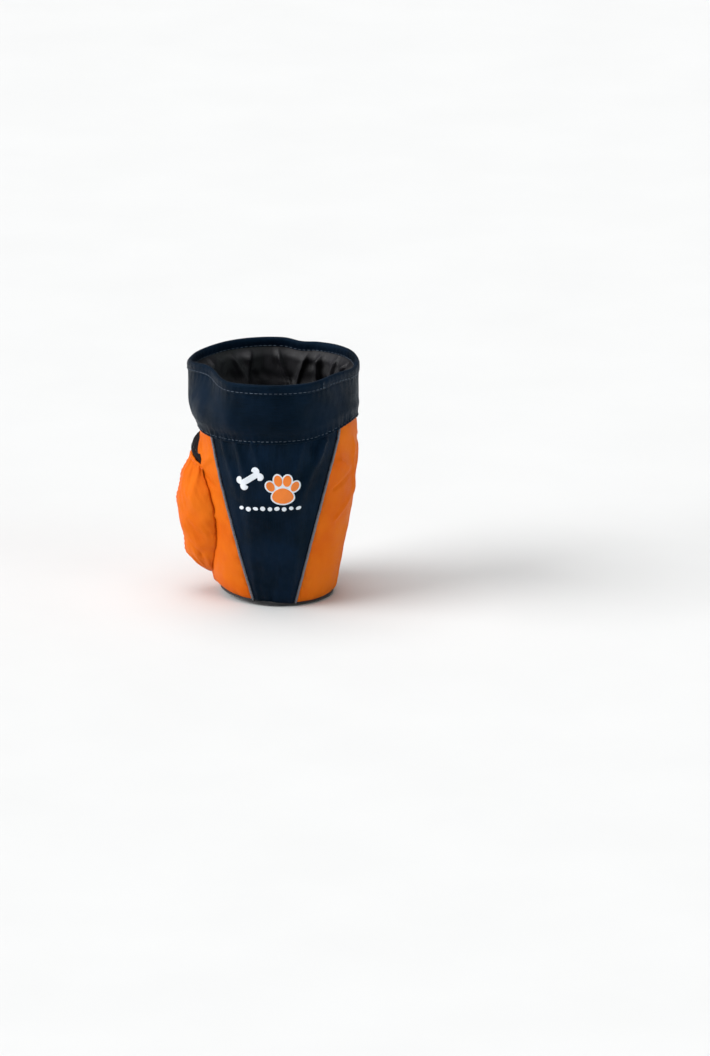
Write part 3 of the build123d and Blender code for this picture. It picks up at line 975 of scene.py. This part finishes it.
def disc(name, radius, outer_level, inner_level, mat, wrinkle, seed):
    """Closed round piece of cloth, its upper and lower faces at the given heights."""
    rim = around(turn_angles(160), 0.0, radius)[:, :2]

    def surface(x, y, level):
        away = np.hypot(x, y)
        ripple = wrinkle * waves(flat(x, y), 16, seed) * (1 - smooth(away, radius - 6, radius))
        return place(np.degrees(np.arctan2(x, -y)), level + ripple, away)

    return raised(name, rim, 0 * rim, surface, outer_level, inner_level, mat, rings=26, edge=0.35)


own(
    disc("lining_floor_cloth", 36.6, 4.3, 3.1, lining_cloth, 0.35, 81),
    replaces=["lining_floor"],
)
own(
    disc("base_cloth", 37.2, 2.2, 0.35, black_cloth, 0.15, 82),
    replaces=["base_panel", "base_board"],
)

# ---- base binding ----
binding_angles = turn_angles(320)
binding_swell = 0.10 * waves(around(binding_angles, 0.0, 38.0), 6, 91)


def binding_ring(k):
    return [
        ((1.35 + binding_swell[k]) * cos(t) * (1 if cos(t) > 0 else 1.1), 1.3 * sin(t))
        for t in [2 * pi * j / 14 for j in range(14)]
    ]


binding_points = place(binding_angles, np.full_like(binding_angles, 1.34), np.full_like(binding_angles, 37.9))
own(
    sweep(
        "base_binding_tape", [(p, o, UP) for p, o in zip(binding_points, outwards(binding_angles))],
        binding_ring, binding_tape, wrap=True,
    ),
    replaces=["base_binding"],
)

# ---- pocket and flap ----
mouth_droop = 6.0    # how much lower the pocket's mouth and the flap are at their front end


def bellied(profile, level, a, out, sink, hold=0.0):
    """Point of a half ellipse that bulges from the side of the pouch and ends sunk in its wall. hold is
    the least half angle of a row, in degrees: where the ellipse is inside the wall, the row lies on it."""
    reach = curve([(z, r) for z, r, _ in profile], level) - pocket_centre + out
    half = curve([(z, h) for z, _, h in profile], level) + out
    wall = wall_radius(level) - sink
    near, far = np.zeros_like(level), np.full_like(level, 140.0)
    for _ in range(26):
        middle = (near + far) / 2
        turn = np.radians(middle)
        outside = np.hypot(pocket_centre + reach * np.cos(turn), half * np.sin(turn)) > wall
        near, far = np.where(outside, middle, near), np.where(outside, far, middle)
    turn = np.radians((2 * a - 1) * np.maximum(near, hold))
    x, y = -(pocket_centre + reach * np.cos(turn)), half * np.sin(turn)
    span = np.maximum(np.hypot(x, y), wall + 0.4 + out) if hold else np.hypot(x, y)
    droop = mouth_droop * np.clip(1 - 2 * a, 0, 1) ** 1.4 * smooth(level, 78, 100)
    droop = droop * (1 - 0.55 * smooth(level, 105, 113))
    return place(np.degrees(np.arctan2(x, -y)), level, span) - droop[..., None] * UP


pocket_bottom, pocket_top = 11.5, 100.2
pocket_width, pocket_seam = 100, 3.0    # along the cloth, and where its middle seam is


def pocket_level(b):
    return pocket_bottom + (pocket_top - pocket_bottom) * b**0.92


def pocket_surface(a, b, out):
    return bellied(pocket_profile, pocket_level(b), a, out, 0.6)


pocket_creases = [    # start, end, width, rise
    ((-40, 96), (-14, 40), 4.5, 1.1),
    ((-28, 98), (-24, 58), 3.5, -1.0),
    ((-40, 48), (-10, 66), 4.0, 0.9),
    ((-34, 30), (-8, 48), 3.5, -0.9),
    ((-15, 98), (-8, 62), 3.5, 0.9),
    ((36, 92), (14, 44), 4.5, 1.0),
    ((22, 96), (20, 60), 3.5, -0.9),
    ((34, 30), (10, 52), 3.5, 0.8),
]


def pocket_folds(a, b):
    level = pocket_level(b)
    edge = np.minimum(a, 1 - a) * pocket_width
    s = (a - 0.5) * pocket_width
    where = flat(s, level)
    seam_line = -bell(s - pocket_seam, 0.9)
    beside = 0.45 * bell(np.abs(s - pocket_seam) - 2.6, 1.6)
    gathers = 0.4 * np.sin(level * 0.75 + 2 * np.sin(level * 0.13)) * np.exp(-edge / 6)
    low_gathers = 0.6 * np.sin(s * 0.42 + 0.6) * (1 - smooth(level, 18, 42)) * smooth(level, 13, 22)
    folds = ridges(s, level, pocket_creases)
    inner = seam_line + beside + folds + 0.8 * waves(where, 26, 101) + 0.15 * waves(where, 8, 102)
    return inner * smooth(edge, 0, 6) + gathers + low_gathers


def line_on(surface, folds, a, b):
    """Line on a folded cloth, and which way is out along it, for a row of stitches."""
    relief = folds(a, b)
    line = surface(a, b, relief)
    return line, surface(a, b, relief + 1.0) - line


own(
    sheet(
        "pocket_cloth", pocket_surface, pocket_width, 90, 1.0, orange,
        relief=pocket_folds, roll=1.3, step=1.1,
    ),
    replaces=["pocket_shell"],
)

seam_levels = np.linspace(17, 95, 300)
seam_b = ((seam_levels - pocket_bottom) / (pocket_top - pocket_bottom)) ** (1 / 0.92)
for row_name, offset in (("a", -1.9), ("b", 1.9)):
    seam_a = np.full_like(seam_levels, 0.5 + (pocket_seam + offset) / pocket_width)
    line, outs = line_on(pocket_surface, pocket_folds, seam_a, seam_b)
    own(stitches(f"pocket_seam_stitches_{row_name}", line, outs, orange_thread))

mouth_a = np.linspace(0.0, 1.0, 120)
mouth_level = 98.6 + 0.25 * np.sin(mouth_a * 31) + 0.2 * np.sin(mouth_a * 57 + 1)
mouth_points = bellied(pocket_profile, mouth_level, mouth_a, np.full_like(mouth_a, -0.45), 0.4)
mouth_outs = bellied(pocket_profile, mouth_level, mouth_a, np.full_like(mouth_a, 1.0), 0.4) - mouth_points
mouth_outs[..., 2] = 0
mouth_outs /= np.linalg.norm(mouth_outs, axis=-1, keepdims=True)
mouth_section = [
    (0.75, -1.6), (0.95, -1.1), (0.98, 0.2), (0.85, 1.2), (0.45, 1.75), (-0.2, 1.85), (-0.7, 1.6),
    (-0.9, 0.9), (-0.95, -0.2), (-0.9, -1.1), (-0.65, -1.6), (0.05, -1.5),
]
own(
    sweep(
        "pocket_hem_cloth", [(p, o, UP) for p, o in zip(mouth_points, mouth_outs)],
        lambda k: mouth_section, orange,
    ),
    replaces=["pocket_hem"],
)
mouth_row = mouth_points + 0.93 * mouth_outs - 0.6 * UP
own(stitches("pocket_hem_stitches", mouth_row, mouth_outs, orange_thread, thread=0.22))

flap_low, flap_high = 101.3, 113.6
flap_width, flap_row = 52, 0.42    # along the cloth, and where its stitches run as a share of its depth


def flap_level(a, b):
    return flap_low + 0.5 * np.sin(a * 9.0) * (1 - b) * 0.4 + (flap_high - flap_low) * b


def flap_surface(a, b, out):
    return bellied(flap_profile, flap_level(a, b), a, out, -0.45, hold=45)


def flap_folds(a, b):
    level = flap_level(a, b)
    s = (a - 0.5) * flap_width
    where = flat(s, level)
    stitched = -0.35 * bell(b - flap_row, 0.05)
    return stitched - 0.25 + 0.25 * waves(where, 14, 111) + 0.3 * np.sin(s * 0.9) * b


flap = sheet("flap_cloth", flap_surface, flap_width, 14, 1.1, black_cloth, relief=flap_folds, step=0.9)
own(flap, body=None, replaces=["pocket_flap"])
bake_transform(flap)
flap_a = np.linspace(0.05, 0.95, 150)
line, outs = line_on(flap_surface, flap_folds, flap_a, np.full_like(flap_a, flap_row))
own(stitches("flap_stitches", line, outs, black_thread, thread=0.24), body="flap")

# ---- back: patch, belt clip, rivets, strap and D-ring ----
patch_half_width, patch_low, patch_high, patch_thickness = 18.0, 50.0, 113.0, 1.6


def rounded_box(half_width, low, high, corner, step=1.6):
    """Outline of a rectangle with round corners, and the point on its middle line nearest each."""
    outline = []
    for centre_x, centre_z, first in (
        (half_width - corner, high - corner, 0), (-half_width + corner, high - corner, 90),
        (-half_width + corner, low + corner, 180), (half_width - corner, low + corner, 270),
    ):
        for k in range(7):
            turn = radians(first + 15 * k)
            outline.append((centre_x + corner * cos(turn), centre_z + corner * sin(turn)))
    full = []
    for k, start in enumerate(outline):
        end = outline[(k + 1) % len(outline)]
        dx, dz = end[0] - start[0], end[1] - start[1]
        pieces = max(1, round((dx**2 + dz**2) ** 0.5 / step))
        full += [(start[0] + dx * i / pieces, start[1] + dz * i / pieces) for i in range(pieces)]
    spine = [(0.0, min(max(z, low + half_width), high - half_width)) for _, z in full]
    return full, spine


patch_outline, patch_spine = rounded_box(patch_half_width, patch_low, patch_high, 4.0)
own(
    raised(
        "back_patch_cloth", patch_outline, patch_spine, lambda x, z, out: on_wall(x, z, out, True),
        patch_thickness, 0.0, black_cloth, rings=14, edge=1.0,
    ),
    replaces=["back_patch"],
)
patch_inset = 2.2    # edge of the patch to its stitches
inset_outline, _ = rounded_box(
    patch_half_width - patch_inset, patch_low + patch_inset, patch_high - patch_inset, 2.6, 0.8,
)
inset_x, inset_z = np.array(inset_outline + inset_outline[:1]).T
patch_row = on_wall(inset_x, inset_z, patch_thickness, True)
patch_outs = outwards(180 - np.degrees(np.arcsin(inset_x / wall_radius(inset_z))))
own(stitches("back_patch_stitches", patch_row, patch_outs, black_thread, thread=0.25))

clip_seat_gap, clip_steel, clip_bend_radius = 0.7, 1.2, 3.6
clip_top, clip_plate_length, clip_half_width = 103.5, 46.0, 11.0
wall_at_clip_top, wall_at_plate_end = 54.91, 50.15
tilt = np.arctan2(wall_at_clip_top - wall_at_plate_end, clip_plate_length)
clip_origin = np.array([0.0, wall_at_clip_top + patch_thickness + clip_seat_gap, clip_top])
clip_out = np.array([0.0, cos(tilt), -sin(tilt)])
clip_up = np.array([0.0, sin(tilt), cos(tilt)])
clip_centre = clip_steel + clip_bend_radius
tongue_seat = clip_centre + clip_bend_radius
throat_lean, tongue_length, tip_length, tip_flare = 1.0, 36.0, 8.0, 3.5


def clip_line():
    """Middle line of the clip's steel in its own plane (out, up)."""
    half = clip_steel / 2
    line = [(half, -clip_plate_length + d) for d in (0, 0.5, 1.2, 2.2, 3.5, 5, 8, 14, 20, 26, 32, 38, 43)]
    bend = clip_bend_radius + half
    line += [(clip_centre - bend * cos(radians(t)), bend * sin(radians(t))) for t in range(0, 181, 10)]
    throat = tongue_seat - throat_lean + half
    lean = throat - tongue_seat - half
    line += [(tongue_seat + half + lean * d / tongue_length, -d) for d in (4, 10, 16, 22, 28, 32)]
    start = np.array([throat, -tongue_length])
    end = np.array([throat + tip_flare, -tongue_length - tip_length])
    bottom_bend = ((0.05, 1.8), (0.0, 0.8), (0.25, -0.6), (0.75, -1.7))
    line += [tuple(start + np.array(shift)) for shift in bottom_bend]
    line += [tuple(start + (end - start) * share) for share in (0.36, 0.55, 0.7, 0.82, 0.91, 0.97, 1.0)]
    return np.array(line)


clip_points = clip_line()
clip_run = np.concatenate([[0], np.cumsum(np.linalg.norm(np.diff(clip_points, axis=0), axis=1))])


def strip_section(half, thick, inset, edge):
    """Section of a flat strip as (out, across). edge gives the points round one of its edges."""
    side = [(thick, x) for x in np.linspace(-half + inset, half - inset, 9)] + edge
    return side + [(-out, -x) for out, x in side]


def clip_half(k):
    """Half width of the clip, narrowed at both ends by its round corners."""
    corner = 5.0
    away = min(clip_run[k], clip_run[-1] - clip_run[k])
    if away >= corner:
        return clip_half_width
    return clip_half_width - corner + (corner**2 - (corner - away) ** 2) ** 0.5


def clip_ring(k):
    half, thick = clip_half(k), clip_steel / 2
    edge = [(thick * 0.75, half - 0.12), (0, half), (-thick * 0.75, half - 0.12)]
    return strip_section(half, thick, 0.5, edge)


clip_world = np.array([clip_origin + o * clip_out + u * clip_up for o, u in clip_points])
clip = sweep("belt_clip", frames_across(clip_world), clip_ring, clip_paint)
own(clip, body=None, replaces=["belt_clip_plate", "belt_clip_tongue"])
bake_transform(clip)

rivet_section = [    # radius, height above the plate
    (0.0, 1.15), (1.0, 1.1), (1.9, 0.92), (2.7, 0.58), (3.2, 0.2), (3.3, 0.0), (3.1, -0.15), (1.5, -0.2),
    (1.5, -1.6), (0.0, -1.7),
]
rivet_sides = 32
for rivet_name, depth, nodes in (("upper", 10.0, ["clip_rivets"]), ("lower", 36.0, ())):
    base = clip_origin + clip_steel * clip_out - depth * clip_up
    verts = [
        base + rise * clip_out + radius * (cos(turn) * clip_up + sin(turn) * RIGHT)
        for radius, rise in rivet_section
        for turn in (2 * pi * j / rivet_sides for j in range(rivet_sides))
    ]
    faces = [
        quad(k, k + 1, j, (j + 1) % rivet_sides, rivet_sides)
        for k in range(len(rivet_section) - 1) for j in range(rivet_sides)
    ]
    rivet = finish_mesh(f"rivet_{rivet_name}", verts, faces, mat=nickel, weld=True)
    own(rivet, replaces=nodes)

ring_height, strap_high, strap_half_width = 126.0, 148.0, 8.5
eye = 2.35    # radius of the middle of the webbing round the ring's bar
ring_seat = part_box("ring_strap")[1].y / MM - 3.05


def strap_line():
    """Middle line of the strap from the side (y, z): down, round the ring's bar and up over itself."""
    inner = ring_seat - eye
    line = [(inner + 0.069 * (z - ring_height), z) for z in np.linspace(strap_high, ring_height + 1.5, 12)]
    line += [
        (ring_seat - eye * cos(radians(t)), ring_height - eye * sin(radians(t))) for t in range(0, 196, 15)
    ]
    line += [
        (ring_seat + out, ring_height + rise)
        for out, rise in ((1.5, 2.7), (0.5, 4.4), (-0.35, 6.2), (-0.55, 8.5), (-0.42, 12.0), (-0.2, 16.0))
    ]
    line.append((ring_seat, strap_high - 2.6))
    return np.array([(0.0, y, z) for y, z in line])


def strap_ring(k):
    half, thick = strap_half_width, 0.7
    return strip_section(half, thick, 0.6, [(thick * 0.6, half - 0.15), (-thick * 0.6, half - 0.15)])


strap_points = strap_line()
own(
    sweep("ring_strap_webbing", frames_across(strap_points), strap_ring, strap_webbing),
    replaces=["ring_strap"],
)
box_low, box_high, box_half = 133.5, 144.0, 6.6    # box of stitches with one diagonal
box_path = [
    (-box_half, box_low), (box_half, box_low), (box_half, box_high), (-box_half, box_high),
    (-box_half, box_low), (box_half, box_high),
]
box_points = []
for (x0, z0), (x1, z1) in zip(box_path, box_path[1:]):
    box_points += [(x0 + (x1 - x0) * t, z0 + (z1 - z0) * t) for t in np.linspace(0, 1, 12, endpoint=False)]
outer_ply = strap_points[-6:]
strap_skin = [(x, np.interp(z, outer_ply[:, 2], outer_ply[:, 1]) + 0.72, z) for x, z in box_points]
strap_outs = [(0.0, 1.0, 0.0)] * len(strap_skin)
own(
    stitches("ring_strap_stitches", strap_skin, strap_outs, black_thread, pitch=2.4, length=1.8, thread=0.22),
)

for slot_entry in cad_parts["d_ring"].material_slots:
    slot_entry.material = nickel


# ---- printed emblem: a plain bone, a paw print and a trail of kibble ----
def ellipse(centre_x, centre_z, width, tall, tilt=0.0, count=40, pinch=0.0):
    """Outline of an ellipse by its half axes. pinch makes it narrower at its top."""
    points = []
    for k in range(count):
        turn = 2 * pi * k / count
        x, z = width * cos(turn) * (1 - pinch * sin(turn)), tall * sin(turn)
        points.append((centre_x + x * cos(tilt) - z * sin(tilt), centre_z + x * sin(tilt) + z * cos(tilt)))
    return points


def bone(centre_x, centre_z, half_length, half_width, lobe, tilt):
    """Outline of a bone with two lobes at each end, and its middle line."""
    outline, spine = [], []
    for end in (1, -1):
        for side in (-1, 1):
            x, z = end * half_length, end * side * lobe * 0.82
            first = (-150, 62) if side < 0 else (-62, 150)
            for k in range(15):
                turn = radians(first[0] + (first[1] - first[0]) * k / 14)
                outline.append((x + end * lobe * cos(turn), z + end * lobe * sin(turn)))
                spine.append((end * half_length, 0.0))
        shaft_side = end * half_width
        for share in np.linspace(0.75, -0.75, 12):
            outline.append((end * half_length * share, shaft_side))
            spine.append((end * half_length * share, 0.0))
    c, s = cos(tilt), sin(tilt)

    def turned(points):
        return [(centre_x + x * c - z * s, centre_z + x * s + z * c) for x, z in points]
    return turned(outline), turned(spine)


def ink(name, outline, spine, mat, high):
    """Printed shape on the front panel, standing out by high."""
    own(raised(name, outline, spine, on_wall, high, -0.3, mat, rings=5))


bone_outline, bone_spine = bone(-15.4, 96.2, 6.6, 2.1, 2.9, radians(36))
ink("print_bone", bone_outline, bone_spine, white_ink, 0.14)
paw_x, paw_z = 7.0, 86.6
paw_shapes = [    # x, z, width, height, tilt, pinch
    (paw_x, paw_z - 2.4, 7.2, 5.7, 0.0, 0.18),
    (paw_x - 8.3, paw_z + 4.3, 2.6, 3.8, radians(28), 0.0),
    (paw_x - 3.1, paw_z + 8.5, 2.8, 4.1, radians(9), 0.0),
    (paw_x + 3.1, paw_z + 8.5, 2.8, 4.1, radians(-9), 0.0),
    (paw_x + 8.3, paw_z + 4.3, 2.6, 3.8, radians(-28), 0.0),
]
for k, (x, z, width, tall, tilt_angle, pinch) in enumerate(paw_shapes):
    for shape_name, grow, mat, high in (("outline", 1.0, white_ink, 0.12), ("paw", 0.0, orange_ink, 0.19)):
        shape = ellipse(x, z, width + grow, tall + grow, tilt_angle, pinch=pinch)
        ink(f"print_{shape_name}_{k}", shape, [(x, z)] * len(shape), mat, high + 0.004 * k)
backing_centre = (paw_x, paw_z + 3.6)
backing = ellipse(*backing_centre, 5.6, 3.6)
ink("print_backing", backing, [backing_centre] * len(backing), white_ink, 0.1)
trail_dice, trail_start, trail_pitch, trail_level = random.Random(9), -21.5, 4.9, 74.0
for k in range(9):
    x = trail_start + trail_pitch * k
    z = trail_level + trail_dice.uniform(-0.5, 0.5) + 0.12 * k
    width, tall = trail_dice.uniform(1.5, 2.0), trail_dice.uniform(1.2, 1.8)
    shape = ellipse(x, z, width, tall, trail_dice.uniform(-0.6, 0.6), count=20)
    ink(f"print_kibble_{k}", shape, [(x, trail_level)] * len(shape), white_ink, 0.14)

# ---- floor and light ----
floor_mesh = bpy.data.meshes.new("floor")
floor_mesh.from_pydata([(-20, -20, 0), (20, -20, 0), (20, 20, 0), (-20, 20, 0)], [], [(0, 1, 2, 3)])
floor = bpy.data.objects.new("floor", floor_mesh)
bpy.context.scene.collection.objects.link(floor)
floor_nodes = Nodes("floor_paper")
floor_grain = floor_nodes.noise(floor_nodes.space(), 9, 3)
floor_tone = floor_nodes.mix(floor_grain, (0.72, 0.72, 0.72, 1), (0.76, 0.76, 0.76, 1))
floor_mesh.materials.append(floor_nodes.finish(floor_grain, 0.00005, floor_tone, 0.9, Specular_IOR_Level=0.1))

world = bpy.data.worlds.new("studio")
bpy.context.scene.world = world
world.use_nodes = True
background = world.node_tree.nodes["Background"]
background.inputs["Color"].default_value = (1.0, 1.0, 1.0, 1)
background.inputs["Strength"].default_value = 0.18


def lamp(name, energy, toward, softness, tint=(1, 1, 1)):
    """Soft, distant lamp that shines from a direction."""
    light = bpy.data.lights.new(name, "SUN")
    light.energy, light.angle, light.color = energy, radians(softness), tint
    holder = bpy.data.objects.new(name, light)
    holder.rotation_euler = Vector(toward).to_track_quat("Z", "Y").to_euler()
    bpy.context.scene.collection.objects.link(holder)


lamp("key", 2.95, (-0.98, -0.30, 0.62), 42)
lamp("overhead", 1.9, (-0.1, 0.1, 1.0), 50)
lamp("fill", 1.1, (0.95, -0.5, 0.16), 30, (0.84, 1.0, 0.98))
